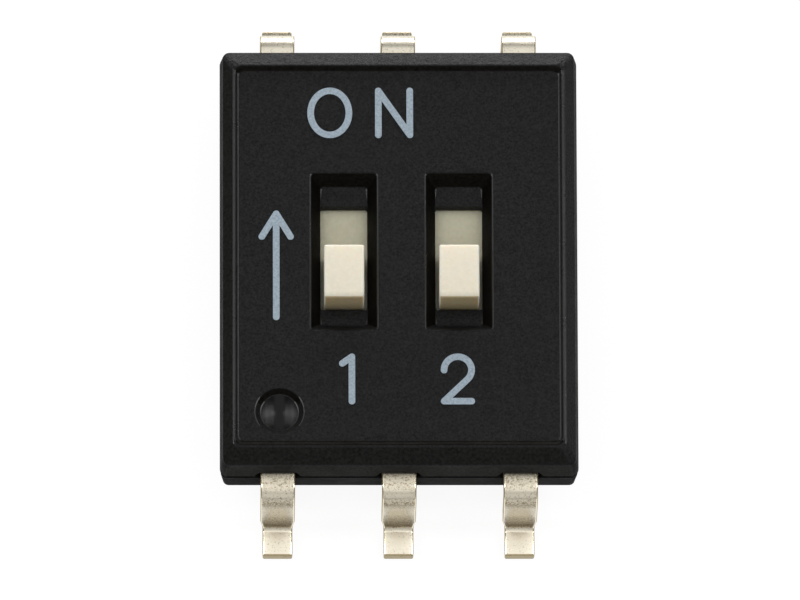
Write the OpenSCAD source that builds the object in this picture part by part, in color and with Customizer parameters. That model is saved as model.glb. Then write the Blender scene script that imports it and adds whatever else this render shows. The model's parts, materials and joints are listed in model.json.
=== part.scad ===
// Two-way surface-mount slide switch bank with gull-wing leads.
// Frame: millimetres, seating plane of the feet at Z = 0, origin under the
// middle of the package, +Y towards the ON end, +Z up, +X to the right.
// Each switch is a change-over switch: its common strip runs beside the travel,
// and a sprung bridge joins it to the front pad (off) or to the rear pad (on).

/* [Package] */
// Width of the cover at the parting line
body_w = 7.51; // [7.45:0.01:7.7]
// Length of the cover at the parting line
body_l = 9.175; // [9.125:0.025:9.3]
// Height of the parting line above the seating plane
seam_h = 2.11; // [2.08:0.01:2.14]
// Height of the cover wall above the parting line
cover_wall_h = 0.615; // [0.6:0.005:0.66]
// Inward draft of the cover wall over its height
wall_draft = 0.06; // [0.02:0.01:0.08]
// Height of the base flange below the parting line
flange_h = 0.87; // [0.75:0.01:0.95]
// Inward draft of the base flange over its height
flange_draft = 0.03; // [0.01:0.01:0.04]
// Gap between the underside of the base and the seating plane
standoff = 0.15; // [0.1:0.01:0.25]
// Radius of the four upright corners
corner_r = 0.14; // [0.1:0.01:0.25]
// Inset of the base flange from the cover wall, all round
flange_inset = 0.04; // [0.02:0.01:0.08]

/* [Cover top] */
// Inward run of the bevel on the two sides
bevel_run_x = 0.21; // [0.18:0.01:0.25]
// Inward run of the bevel at the two ends
bevel_run_y = 0.33; // [0.24:0.01:0.34]
// Rise of the outer bevel
bevel_rise = 0.22; // [0.2:0.01:0.26]
// Width of the flat crest between the bevel and the recess
crest_w = 0.055; // [0.04:0.005:0.08]
// Depth of the recessed panel below the crest
recess_depth = 0.07; // [0.05:0.01:0.09]
// Inward run of the recess wall
recess_run = 0.05; // [0.04:0.01:0.1]

/* [Wells] */
// Distance between the two switches
slot_pitch = 2.41; // [2.4:0.01:2.46]
// Sideways shift of the pair of switches from the middle
slot_shift = 0.055; // [0:0.005:0.08]
// Width of a well at its rim
well_w = 1.385; // [1.345:0.01:1.425]
// Length of a well at its rim
well_l = 3.447; // [3.4:0.01:3.5]
// Middle of a well along the travel
well_y = 0.113; // [0.06:0.01:0.14]
// Depth of a well below the panel
well_depth = 0.41; // [0.38:0.01:0.43]
// Inward run of the sloped well walls
well_slope = 0.2; // [0.19:0.005:0.21]

/* [Sliders] */
// Travel of a slider from off to on
travel = 1.05; // [0.95:0.05:1.05]
// Width of a knob
knob_w = 0.84; // [0.76:0.01:0.9]
// Length of a knob along the travel
knob_l = 1.145; // [1.1:0.005:1.16]
// Height of the knob tops above the seating plane
knob_top_h = 3.31; // [3.2:0.01:3.5]
// Free travel left between a knob and each end of its opening
end_play = 0.03; // [0.02:0.005:0.04]
// Radius of the front top edge of a knob
knob_front_r = 0.14; // [0.08:0.01:0.18]
// Radius of the other edges of a knob
knob_r = 0.04; // [0.03:0.01:0.06]

/* [Leads] */
// Distance between neighbouring leads
lead_pitch = 2.54; // [2.5:0.01:2.56]
// Length over the feet of both rows
span_l = 11.54; // [11.4:0.02:11.9]
// Thickness of the lead strip
lead_t = 0.28; // [0.24:0.01:0.3]
// Width of a lead where it leaves the body
lead_w = 0.72; // [0.66:0.01:0.76]
// Width of a foot
foot_w = 0.62; // [0.56:0.01:0.66]
// Inside radius of the lead bends
bend_r = 0.11; // [0.08:0.01:0.13]
// Distance from the cover wall to the outer face of the upright leg
leg_reach = 0.57; // [0.54:0.01:0.6]

/* [Print] */
// Stroke width of the printed marks
stroke_w = 0.14; // [0.12:0.01:0.2]
// Thickness of the ink
ink_t = 0.02; // [0.01:0.005:0.03]

/* [Hidden] */
$fn = 48;
eps = 0.02;
far = 20;

// Heights, all above the seating plane
edge_z = seam_h + cover_wall_h;
crest_z = edge_z + bevel_rise;
panel_z = crest_z - recess_depth;
well_z = panel_z - well_depth;
web_t = 0.29;
ceiling_z = well_z - web_t;
floor_z = 0.9;
flange_z = seam_h - flange_h;

// Cover cap and the plateau of the base that nests in it
wall_x = 0.65;
wall_y = 0.69;
nest_gap = 0.03;
plateau_z = ceiling_z - 0.02;
nest_r = 0.15;
rib_y = 2.78;
rib_cover = 0.13;
rib_top = seam_h + lead_t / 2 + rib_cover;

// Foot block of the base
block_inset_x = 0.45;
block_inset_y = 0.48;

// Cover pins and their holes
pin_r = 0.22;
pin_l = 0.7;
pin_gap = 0.01;
pin_x = 2.72;
pin_y = 1.3;

// Openings, knobs and shutters
opening_w = well_w - 2 * well_slope;
opening_l = knob_l + travel + 2 * end_play;
opening_y = 0.086;
opening_r = 0.05;
rest_y = opening_y - travel / 2;
shutter_gap = 0.03;
shutter_z = ceiling_z - shutter_gap;
shutter_t = 0.24;
shutter_w = 1.64;
shutter_l = opening_l + travel + 0.3;
carrier_w = 1.5;
carrier_l = 1.9;
carrier_z = floor_z + 0.17;
trough_w = 1.9;
trough_l = shutter_l + travel + 0.2;
trough_r = 0.1;

// Contact bridge: a bent strip with two curled feet
bridge_t = 0.12;
bridge_l = 0.5;
bridge_bend_r = 0.10;
curl_r = 0.04;
foot_x = 0.52;
contact_gap = 0.01;
bridge_top_z = 1.36;
bridge_leg_x = foot_x - curl_r - bridge_t;
slot_clear = 0.03;

// Contact spring
spring_z = bridge_top_z + 0.005;
spring_h = 0.5;
spring_r = 0.23;
spring_wire_r = 0.045;
spring_turns = 4;
spring_steps = 12;
spring_sides = 6;
socket_r = 0.32;

// Leads, in the front row's own sense (the foot points to -Y)
lead_top = seam_h + lead_t / 2;
bend_out = bend_r + lead_t;
leg_y = body_l / 2 + leg_reach;
drop_y = 3.1;
jog_y = 2.45;
taper_top = 0.66;
taper_foot = 0.25;
window_w = 0.98;
window_flat = 0.76;
window_h = 0.2;
common_w = 0.5;
throw_w = 0.56;
pad_split = 0.13;
common_end = 1.1;

// Pin-1 mark
dimple_x = -2.49;
dimple_y = -3.41;
dimple_r = 0.515;
dimple_floor_r = 0.4;
dimple_depth = 0.1;

// Printed marks
mark_h = 1.11;
on_y = 3.147;
o_x = -1.442;
o_w = 0.943;
n_x = -0.093;
n_w = 0.8;
num_y = -2.685;
one_x = -0.991;
one_flag_x = 0.2;
one_flag_y = 0.145;
two_x = 1.224;
two_w = 0.715;
arrow_x = -2.57;
arrow_y = -0.2;
arrow_l = 2.4;
arrow_w = 0.74;
arrow_head = 0.5;

slot_x = [-slot_pitch / 2 + slot_shift, slot_pitch / 2 + slot_shift];

// ---------- shared shapes ----------

// Flat rectangle with round corners, centred
module rounded_rect(w, l, r) {
    square([w - 2 * r, l], center = true);
    square([w, l - 2 * r], center = true);
    for (sx = [-1, 1], sy = [-1, 1])
        translate([sx * (w / 2 - r), sy * (l / 2 - r)]) circle(r);
}

// Upright slab with round corners, from z0 to z1
module slab(w, l, r, z0, z1) {
    translate([0, 0, z0]) linear_extrude(z1 - z0) rounded_rect(w, l, r);
}

// Prism of a side-view outline (X across, Z up), len long in Y
module along_y(len) {
    rotate([90, 0, 0]) linear_extrude(len, center = true) children();
}

// Prism of a side-view outline (Y across, Z up), len long in X
module along_x(len) {
    rotate([90, 0, 90]) linear_extrude(len, center = true) children();
}

// Trapezoid from width w0 at z0 to width w1 at z1
module trapezoid(w0, z0, w1, z1) {
    polygon([[-w0 / 2, z0], [w0 / 2, z0], [w1 / 2, z1], [-w1 / 2, z1]]);
}

// Four-sided hopper: sloped on every side, with mitred corners
module hopper(w, l, run, z0, z1) {
    grow = run * (far - z0) / (z1 - z0);
    intersection() {
        along_y(l + 2) trapezoid(w - 2 * run, z0, w - 2 * run + 2 * grow, far);
        along_x(w + 2) trapezoid(l - 2 * run, z0, l - 2 * run + 2 * grow, far);
        translate([0, 0, z0 + (z1 + eps - z0) / 2])
            cube([w + 2, l + 2, z1 + eps - z0], center = true);
    }
}

// Outline of a wall that leans in by wall_draft and is bevelled above edge_z
module bevelled_outline(w, run) {
    top = w / 2 - wall_draft;
    polygon([
        [-w / 2, seam_h], [w / 2, seam_h],
        [top, edge_z], [top - run, crest_z],
        [run - top, crest_z], [-top, edge_z]
    ]);
}

// Stroke of the print from a to b, with round ends
module stroke(a, b) {
    d = b - a;
    translate(a) rotate(atan2(d[1], d[0])) {
        translate([0, -stroke_w / 2]) square([norm(d), stroke_w]);
        circle(stroke_w / 2);
        translate([norm(d), 0]) circle(stroke_w / 2);
    }
}

// Mark of ink lying on the panel
module ink(at) {
    translate([at[0], at[1], panel_z]) linear_extrude(ink_t) children();
}

// ---------- cover ----------

// Hexagonal window that one lead passes, split by the parting line
module window_outline() {
    polygon([
        [-window_w / 2, 0], [-window_flat / 2, -window_h], [window_flat / 2, -window_h],
        [window_w / 2, 0], [window_flat / 2, window_h], [-window_flat / 2, window_h]
    ]);
}

// Windows of both rows, cut from outside in to the plateau of the base
module windows() {
    depth = wall_y + 1;
    for (side = [-1, 1], column = [-1, 0, 1])
        translate([column * lead_pitch, side * (body_l / 2 - wall_y + depth / 2 - nest_gap), seam_h])
            along_y(depth) window_outline();
}

// Sloped well with the opening that its knob stands in
module well(x) {
    translate([x, well_y, 0]) hopper(well_w, well_l, well_slope, well_z, panel_z);
    translate([x, opening_y, 0]) slab(opening_w, opening_l, opening_r, ceiling_z - 1, panel_z);
}

// Rib at each end of the plateau, over the strips. gap is its clearance all round.
module end_ribs(gap, top) {
    inner = rib_y + gap;
    outer = body_l / 2 - wall_y - gap;
    for (side = [-1, 1])
        translate([0, side * (inner + outer) / 2, 0])
            slab(body_w - 2 * (wall_x + gap), outer - inner, nest_r, plateau_z - eps, top);
}

module cover_shell() {
    intersection() {
        slab(body_w, body_l, corner_r, seam_h, crest_z);
        along_y(body_l + 1) bevelled_outline(body_w, bevel_run_x);
        along_x(body_w + 1) bevelled_outline(body_l, bevel_run_y);
    }
}

module cover_pins() {
    for (sx = [-1, 1], sy = [-1, 1])
        translate([sx * pin_x, sy * pin_y, ceiling_z - pin_l]) cylinder(r = pin_r, h = pin_l + eps);
}

module cover() {
    recess_w = body_w - 2 * (wall_draft + bevel_run_x + crest_w);
    recess_l = body_l - 2 * (wall_draft + bevel_run_y + crest_w);
    color([0.11, 0.11, 0.11]) {
        difference() {
            cover_shell();
            hopper(recess_w, recess_l, recess_run, panel_z, crest_z);
            for (x = slot_x) well(x);
            translate([dimple_x, dimple_y, panel_z - dimple_depth])
                cylinder(r1 = dimple_floor_r, r2 = dimple_r, h = dimple_depth);
            translate([dimple_x, dimple_y, panel_z - eps]) cylinder(r = dimple_r, h = 1);
            slab(body_w - 2 * wall_x, body_l - 2 * wall_y, nest_r, seam_h - 1, ceiling_z);
            end_ribs(0, rib_top + nest_gap);
            windows();
        }
        cover_pins();
    }
}

// ---------- base ----------

module base_block() {
    flange_w = body_w - 2 * flange_inset;
    flange_l = body_l - 2 * flange_inset;
    intersection() {
        slab(flange_w, flange_l, corner_r, flange_z, seam_h);
        along_y(body_l) trapezoid(flange_w - 2 * flange_draft, flange_z, flange_w, seam_h);
        along_x(body_w) trapezoid(flange_l - 2 * flange_draft, flange_z, flange_l, seam_h);
    }
    slab(body_w - 2 * block_inset_x, body_l - 2 * block_inset_y, corner_r, standoff, flange_z + eps);
    slab(body_w - 2 * (wall_x + nest_gap), body_l - 2 * (wall_y + nest_gap), nest_r,
         seam_h - eps, plateau_z);
    end_ribs(nest_gap, rib_top);
}

module pin_holes() {
    for (sx = [-1, 1], sy = [-1, 1])
        translate([sx * pin_x, sy * pin_y, ceiling_z - pin_l - 0.06])
            cylinder(r = pin_r + pin_gap, h = 2);
}

module base() {
    color([0.13, 0.13, 0.13]) difference() {
        base_block();
        for (x = slot_x)
            translate([x, opening_y, 0]) slab(trough_w, trough_l, trough_r, floor_z, plateau_z + 1);
        windows();
        pin_holes();
        for (i = [1:6]) terminal_shape(i);
    }
}

// ---------- leads ----------

// Quarter turn of the strip about (y, z), towards the side (qy, qz)
module strip_bend(y, z, qy, qz) {
    translate([y, z]) intersection() {
        difference() {
            circle(bend_out);
            circle(bend_r);
        }
        translate([qy < 0 ? -bend_out : 0, qz < 0 ? -bend_out : 0]) square(bend_out);
    }
}

// Side view of the strip outside the wall: foot, leg and half the shoulder
module outer_strip() {
    translate([-span_l / 2, 0]) square([span_l / 2 - leg_y - bend_r, lead_t]);
    strip_bend(-leg_y - bend_r, lead_t + bend_r, 1, -1);
    translate([-leg_y, lead_t + bend_r]) square([lead_t, lead_top - bend_out - lead_t - bend_r]);
    strip_bend(bend_out - leg_y, lead_top - bend_out, -1, 1);
    translate([bend_out - leg_y, lead_top - lead_t])
        square([leg_y - bend_out - drop_y - bend_out, lead_t]);
}

// Side view of the strip inside: it turns down and lands on the floor
module inner_strip() {
    strip_bend(-drop_y - bend_out, lead_top - bend_out, 1, 1);
    translate([-drop_y - lead_t, floor_z + bend_r])
        square([lead_t, lead_top - bend_out - floor_z - bend_r]);
    strip_bend(bend_r - drop_y, floor_z + bend_r, -1, -1);
}

// Front view of the strip: it narrows to the foot
module strip_front() {
    polygon([
        [-foot_w / 2, -1], [foot_w / 2, -1], [foot_w / 2, taper_foot],
        [lead_w / 2, taper_top], [lead_w / 2, 3],
        [-lead_w / 2, 3], [-lead_w / 2, taper_top], [-foot_w / 2, taper_foot]
    ]);
}

// Top view of the plate in the floor: it jogs from the lead to its pad
module pad_plate(lead_x, pad_x, pad_w, pad_end) {
    start = bend_r - drop_y;
    low = min(lead_x - lead_w / 2, pad_x - pad_w / 2);
    high = max(lead_x + lead_w / 2, pad_x + pad_w / 2);
    translate([low, start]) square([high - low, -jog_y - start]);
    translate([pad_x - pad_w / 2, start]) square([pad_w, pad_end - start]);
}

// One terminal. Rear ones are mirrored, and pad_end is counted from their side.
module terminal(side, lead_x, pad_x, pad_w, pad_end) {
    mirror([0, side > 0 ? 1 : 0, 0]) {
        translate([lead_x, 0, 0]) {
            intersection() {
                along_x(lead_w) outer_strip();
                along_y(3 * far) strip_front();
            }
            along_x(lead_w) inner_strip();
        }
        translate([0, 0, floor_z - lead_t]) linear_extrude(lead_t)
            pad_plate(lead_x, pad_x, pad_w, pad_end);
    }
}

// Terminal by its number: 1 to 3 in front from the left, 4 to 6 behind from the right
module terminal_shape(i) {
    front_throw = opening_y - pad_split;
    rear_throw = -opening_y - pad_split;
    if (i == 1) terminal(-1, -lead_pitch, slot_x[0] - foot_x, throw_w, front_throw);
    if (i == 2) terminal(-1, 0, slot_x[0] + foot_x, common_w, common_end);
    if (i == 3) terminal(-1, lead_pitch, slot_x[1] + foot_x, throw_w, front_throw);
    if (i == 4) terminal(1, lead_pitch, slot_x[1] + foot_x, throw_w, rear_throw);
    if (i == 5) terminal(1, 0, slot_x[1] - foot_x, common_w, common_end);
    if (i == 6) terminal(1, -lead_pitch, slot_x[0] - foot_x, throw_w, rear_throw);
}

module lead_colour() {
    color([0.80, 0.77, 0.70]) children();
}

// ---------- sliders ----------

// Side view of a knob: the front top edge is rounder than the rear one
module knob_side(foot) {
    height = knob_top_h - foot;
    translate([-knob_l / 2, foot]) square([knob_l, height - knob_front_r]);
    translate([knob_front_r - knob_l / 2, foot])
        square([knob_l - knob_front_r - knob_r, height]);
    translate([knob_front_r - knob_l / 2, knob_top_h - knob_front_r]) circle(knob_front_r);
    translate([0, foot]) square([knob_l / 2, height - knob_r]);
    translate([knob_l / 2 - knob_r, knob_top_h - knob_r]) circle(knob_r);
}

// Knob with round upright edges and softened top edges
module knob() {
    foot = shutter_z - eps;
    height = knob_top_h - foot;
    intersection() {
        slab(knob_w, knob_l, knob_r, foot, knob_top_h);
        along_y(knob_l + 1) translate([0, foot + height / 2 - knob_r / 2])
            rounded_rect(knob_w, height + knob_r, knob_r);
        along_x(knob_w + 1) knob_side(foot);
    }
}

// Slot across the carrier that holds the bridge, and the socket of its spring
module carrier_pocket() {
    slot_top = bridge_top_z + 0.04;
    translate([0, 0, (slot_top + carrier_z - 1) / 2])
        cube([carrier_w + 1, bridge_l + 2 * slot_clear, slot_top - carrier_z + 1], center = true);
    translate([0, 0, carrier_z]) cylinder(r = socket_r, h = spring_z + spring_h + 0.005 - carrier_z);
}

module slider(i) {
    color([0.90, 0.87, 0.79]) translate([slot_x[i - 1], rest_y, 0]) {
        knob();
        difference() {
            union() {
                translate([0, 0, shutter_z - shutter_t / 2])
                    cube([shutter_w, shutter_l, shutter_t], center = true);
                translate([0, 0, (shutter_z - shutter_t + carrier_z + eps) / 2])
                    cube([carrier_w, carrier_l, shutter_z - shutter_t - carrier_z + eps],
                         center = true);
            }
            carrier_pocket();
        }
    }
}

// ---------- contacts ----------

// Quarter ring of the bridge strip about (x, z)
module bridge_arc(x, z, r, qx, qz) {
    translate([x, z]) intersection() {
        difference() {
            circle(r + bridge_t);
            circle(r);
        }
        translate([qx < 0 ? -far : 0, qz < 0 ? -far : 0]) square(far);
    }
}

// Right half of the bridge seen from the front: bar, leg and curled foot
module bridge_half() {
    bend_x = bridge_leg_x - bridge_bend_r;
    bend_z = bridge_top_z - bridge_bend_r - bridge_t;
    foot_z = floor_z + contact_gap + curl_r + bridge_t;
    translate([0, bridge_top_z - bridge_t]) square([bend_x, bridge_t]);
    bridge_arc(bend_x, bend_z, bridge_bend_r, 1, 1);
    translate([bridge_leg_x, foot_z]) square([bridge_t, bend_z - foot_z]);
    bridge_arc(foot_x, foot_z, curl_r, -1, -1);
    bridge_arc(foot_x, foot_z, curl_r, 1, -1);
}

module contact_bridge(i) {
    color([0.83, 0.68, 0.36]) translate([slot_x[i - 1], rest_y, 0]) along_y(bridge_l) {
        bridge_half();
        mirror([1, 0]) bridge_half();
    }
}

// Height of the coil's centre line at share u of its length: dead coils at the ends
function coil_rise(u) = u < 0.2 ? 0.5 * u : u > 0.8 ? 1 - 0.5 * (1 - u) : 0.1 + (u - 0.2) * 0.8 / 0.6;

// Ring of points round the wire at share u of the coil
function coil_ring(u) = [
    for (k = [0:spring_sides - 1])
        let (
            turn = 360 * spring_turns * u,
            way = 360 * k / spring_sides,
            reach = spring_r + spring_wire_r * cos(way),
            z = spring_wire_r + (spring_h - 2 * spring_wire_r) * coil_rise(u)
        )
        [reach * cos(turn), reach * sin(turn), z + spring_wire_r * sin(way)]
];

module contact_spring(i) {
    rings = spring_turns * spring_steps;
    n = spring_sides;
    points = [for (s = [0:rings]) each coil_ring(s / rings)];
    sides = [
        for (s = [0:rings - 1], k = [0:n - 1])
            [s * n + k, s * n + (k + 1) % n, (s + 1) * n + (k + 1) % n, (s + 1) * n + k]
    ];
    first_end = [for (k = [n - 1:-1:0]) k];
    last_end = [for (k = [0:n - 1]) rings * n + k];
    color([0.72, 0.73, 0.75]) translate([slot_x[i - 1], rest_y, spring_z])
        polyhedron(points, concat(sides, [first_end, last_end]));
}

// ---------- print ----------

// Upright oval ring
module ring_mark(w, h) {
    difference() {
        rounded_rect(w, h, w / 2 - 0.001);
        rounded_rect(w - 2 * stroke_w, h - 2 * stroke_w, w / 2 - stroke_w - 0.001);
    }
}

module mark_n(w, h) {
    x = (w - stroke_w) / 2;
    y = (h - stroke_w) / 2;
    stroke([-x, -y], [-x, y]);
    stroke([-x, y], [x, -y]);
    stroke([x, -y], [x, y]);
}

module mark_one(h) {
    y = (h - stroke_w) / 2;
    stroke([0, -y], [0, y]);
    stroke([0, y], [-one_flag_x, y - one_flag_y]);
}

// Pie slice from angle a0 to angle a1, with its point at the middle
module sector(a0, a1, r) {
    steps = 8;
    polygon(concat([[0, 0]], [
        for (k = [0:steps]) let (a = a0 + (a1 - a0) * k / steps) [r * cos(a), r * sin(a)]
    ]));
}

// Figure two: a bow, a straight tail that leaves it at a tangent, and a foot
module mark_two(w, h) {
    r = (w - stroke_w) / 2;
    y = (h - stroke_w) / 2;
    bow_y = y - r;
    drop = y + bow_y;
    tail = acos(r / norm([r, drop])) - 90 - atan(r / drop);
    translate([0, bow_y]) intersection() {
        difference() {
            circle(r + stroke_w / 2);
            circle(r - stroke_w / 2);
        }
        sector(tail, 180, w);
    }
    translate([-r, bow_y]) circle(stroke_w / 2);
    stroke([r * cos(tail), bow_y + r * sin(tail)], [-r, -y]);
    stroke([-r, -y], [r, -y]);
}

module mark_arrow(w, l) {
    x = (w - stroke_w) / 2;
    y = (l - stroke_w) / 2;
    stroke([0, -y], [0, y]);
    stroke([-x, y - arrow_head], [0, y]);
    stroke([x, y - arrow_head], [0, y]);
}

module ink_colour() {
    color([0.65, 0.72, 0.78]) children();
}

cover();
base();
lead_colour() terminal_shape(1);  // terminal_1
lead_colour() terminal_shape(2);  // terminal_2
lead_colour() terminal_shape(3);  // terminal_3
lead_colour() terminal_shape(4);  // terminal_4
lead_colour() terminal_shape(5);  // terminal_5
lead_colour() terminal_shape(6);  // terminal_6
slider(1);  // slider_1
slider(2);  // slider_2
contact_bridge(1);  // contact_bridge_1
contact_bridge(2);  // contact_bridge_2
contact_spring(1);  // contact_spring_1
contact_spring(2);  // contact_spring_2
ink_colour() ink([o_x, on_y]) ring_mark(o_w, mark_h);  // legend_o
ink_colour() ink([n_x, on_y]) mark_n(n_w, mark_h);  // legend_n
ink_colour() ink([one_x, num_y]) mark_one(mark_h);  // legend_one
ink_colour() ink([two_x, num_y]) mark_two(two_w, mark_h);  // legend_two
ink_colour() ink([arrow_x, arrow_y]) mark_arrow(arrow_w, arrow_l);  // legend_arrow
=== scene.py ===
"""Two-way slide switch bank with gull-wing leads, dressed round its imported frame.

New pieces are modelled on the bench at one unit to the millimetre, where edit-mode
operators behave well on so small an object, and are then settled into the frame's
metres. Heights are above the seating plane of the feet, +Y is the ON end.
"""

import json
import logging
import math
from contextlib import contextmanager
from dataclasses import dataclass, replace
from enum import Enum
from functools import cache
from typing import Callable, ClassVar, Iterator, Sequence

import bmesh
import bpy
from mathutils import Matrix, Vector


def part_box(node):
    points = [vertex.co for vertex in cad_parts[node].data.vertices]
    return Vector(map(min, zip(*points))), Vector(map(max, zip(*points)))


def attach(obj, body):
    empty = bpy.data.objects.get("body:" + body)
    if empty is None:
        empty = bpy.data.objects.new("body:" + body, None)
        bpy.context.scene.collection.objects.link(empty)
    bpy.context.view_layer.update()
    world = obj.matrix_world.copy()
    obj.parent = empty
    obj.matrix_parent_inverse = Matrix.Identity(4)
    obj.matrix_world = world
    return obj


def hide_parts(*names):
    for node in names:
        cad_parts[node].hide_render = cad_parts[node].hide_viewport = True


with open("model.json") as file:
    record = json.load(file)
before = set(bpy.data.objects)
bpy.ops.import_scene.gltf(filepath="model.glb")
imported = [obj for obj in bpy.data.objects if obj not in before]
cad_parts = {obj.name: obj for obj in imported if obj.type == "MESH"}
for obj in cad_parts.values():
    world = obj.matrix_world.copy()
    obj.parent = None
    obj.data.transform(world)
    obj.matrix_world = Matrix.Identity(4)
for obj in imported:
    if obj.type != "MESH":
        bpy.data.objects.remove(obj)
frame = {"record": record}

LOG = logging.getLogger("slide_switch")
MM = 0.001
TINY = 1e-4  # places that are nearer than this are one, in millimetres
NEAR = 1e-3  # heights that are nearer than this are level, in millimetres
OVER = 0.1  # how far a tool goes past what it cuts or joins, in millimetres
Point = Sequence[float]
Colour = tuple[float, float, float]
Piece = bpy.types.Object
Face = bmesh.types.BMFace
Tree = bpy.types.NodeTree
Node = bpy.types.Node
Socket = bpy.types.NodeSocket


# ---------- bench tools ----------


class Select(Enum):
    """What an edit-mode selection takes."""

    VERT = "VERT"
    EDGE = "EDGE"
    FACE = "FACE"


class Merge(Enum):
    """What a tool solid does to a piece."""

    ADD = "UNION"
    CUT = "DIFFERENCE"


def pick(obj: Piece) -> None:
    """Makes a piece the only selected one and the active one.

    Args:
        obj: The piece to work on.
    """
    bpy.ops.object.select_all(action="DESELECT")
    obj.select_set(True)
    bpy.context.view_layer.objects.active = obj


def fix(obj: Piece) -> None:
    """Moves the place, the turn and the size of a selected piece into its mesh."""
    bpy.context.view_layer.objects.active = obj
    bpy.ops.object.transform_apply(location=True, rotation=True, scale=True)


@contextmanager
def editing(obj: Piece) -> Iterator[None]:
    """Opens a piece in edit mode with nothing selected, and closes it again.

    Args:
        obj: The piece to edit.
    """
    pick(obj)
    bpy.ops.object.mode_set(mode="EDIT")
    bpy.ops.mesh.select_all(action="DESELECT")
    yield
    bpy.ops.object.mode_set(mode="OBJECT")


def choose(obj: Piece, kind: Select, test: Callable[..., bool]) -> None:
    """Selects the vertices, edges or faces of an edited piece that pass a test.

    Args:
        obj: The piece that is open in edit mode.
        kind: Which elements are looked at.
        test: Says whether one element is selected.
    """
    bpy.ops.mesh.select_mode(type=kind.value)
    bpy.ops.mesh.select_all(action="DESELECT")
    bm = bmesh.from_edit_mesh(obj.data)
    elements = {Select.VERT: bm.verts, Select.EDGE: bm.edges, Select.FACE: bm.faces}[kind]
    for element in elements:
        element.select_set(test(element))
    bm.select_flush_mode()
    bmesh.update_edit_mesh(obj.data)


def middle(element: bmesh.types.BMEdge | Face) -> Vector:
    """Middle of an edge or a face."""
    return sum((v.co for v in element.verts), Vector()) / len(element.verts)


def facing(x: float, y: float, z: float) -> Callable[[Face], bool]:
    """Makes a test for faces that look along a direction."""
    way = Vector((x, y, z)).normalized()
    return lambda face: face.normal.dot(way) > 0.99


def upright(edge: bmesh.types.BMEdge) -> bool:
    """True for an edge that climbs."""
    a, b = (v.co for v in edge.verts)
    return abs(a.z - b.z) > TINY


def extrude(x: float, y: float, z: float) -> None:
    """Extrudes the selected faces by a vector."""
    bpy.ops.mesh.extrude_region_move(TRANSFORM_OT_translate={"value": (x, y, z)})


def resize(x: float, y: float, z: float, about: Point = (0, 0, 0)) -> None:
    """Scales the selection by a factor on each axis, about a point that stays."""
    bpy.ops.transform.resize(value=(x, y, z), center_override=tuple(about))


def turn(degrees: float, about: Point, axis: Point, steps: int) -> None:
    """Spins the selected end face through an arc, right-handed about an axis, as a bend of a strip."""
    bpy.ops.mesh.spin(steps=steps, angle=-math.radians(degrees), center=tuple(about), axis=axis)


def round_corners(obj: Piece, radius: float, segments: int) -> None:
    """Rounds the climbing edges of an edited piece."""
    choose(obj, Select.EDGE, upright)
    bpy.ops.mesh.bevel(offset=radius, segments=segments, affect="EDGES")


def box(name: str, low: Point, high: Point) -> Piece:
    """Adds a box between two corners, with its place in its mesh.

    Args:
        name: Name of the piece.
        low: Lowest corner.
        high: Highest corner.

    Returns:
        The box.
    """
    bpy.ops.object.select_all(action="DESELECT")
    centre = [(a + b) / 2 for a, b in zip(low, high)]
    bpy.ops.mesh.primitive_cube_add(size=1, location=centre)
    obj = bpy.context.object
    obj.name = name
    obj.scale = [b - a for a, b in zip(low, high)]
    fix(obj)
    return obj


def block(name: str, at: Point, width: float, length: float, low: float, top: float) -> Piece:
    """Adds a box round an upright axis.

    Args:
        name: Name of the piece.
        at: Place of the axis.
        width: Size along X.
        length: Size along Y.
        low: Height of the underside.
        top: Height of the top.

    Returns:
        The box.
    """
    x, y = at[0], at[1]
    return box(name, (x - width / 2, y - length / 2, low), (x + width / 2, y + length / 2, top))


def round_bar(name: str, at: Point, low_r: float, high_r: float, height: float, sides: int) -> Piece:
    """Adds an upright cylinder or cone that stands on a point.

    Args:
        name: Name of the piece.
        at: Middle of its lower end.
        low_r: Radius of the lower end.
        high_r: Radius of the upper end.
        height: Height of the bar.
        sides: Number of sides.

    Returns:
        The bar.
    """
    bpy.ops.object.select_all(action="DESELECT")
    bpy.ops.mesh.primitive_cone_add(
        vertices=sides, radius1=low_r, radius2=high_r, depth=height,
        location=(at[0], at[1], at[2] + height / 2),
    )
    obj = bpy.context.object
    obj.name = name
    fix(obj)
    return obj


def finish_with(obj: Piece, kind: str, **settings: object) -> None:
    """Adds a modifier and applies it at once.

    Args:
        obj: The piece.
        kind: Type of the modifier.
        **settings: Values of the modifier.
    """
    pick(obj)
    modifier = obj.modifiers.new(kind.lower(), kind)
    for key, value in settings.items():
        setattr(modifier, key, value)
    bpy.ops.object.modifier_apply(modifier=modifier.name)


def combine(obj: Piece, tool: Piece, merge: Merge, solver: str = "EXACT") -> None:
    """Adds or cuts a tool solid with a solver, and throws the tool away."""
    finish_with(obj, "BOOLEAN", operation=merge.value, solver=solver, object=tool)
    bpy.data.objects.remove(tool, do_unlink=True)


def dress(obj: Piece, finish: "Finish") -> int:
    """Finds the slot of a finish on a piece, and adds one where there is none.

    Args:
        obj: The piece.
        finish: The finish. The first one that a piece gets covers all of it.

    Returns:
        Number of the slot.
    """
    material = finish.make()
    if material.name not in obj.data.materials:
        obj.data.materials.append(material)
    return obj.data.materials.find(material.name)


def soften(
    obj: Piece, width: float, limit: float = 35, segments: int = 2, finish: "Finish | None" = None
) -> None:
    """Rounds the sharp edges of a piece.

    Args:
        obj: The piece.
        width: Width of the rounding.
        limit: Angle above which an edge counts as sharp, in degrees.
        segments: Number of facets across the rounding.
        finish: Finish of the rounded edges, when it is not the piece's first.
    """
    slot = dress(obj, finish) if finish else 0
    finish_with(
        obj, "BEVEL", width=width, segments=segments, limit_method="ANGLE", material=slot,
        angle_limit=math.radians(limit), use_clamp_overlap=False, miter_outer="MITER_SHARP",
    )


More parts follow.
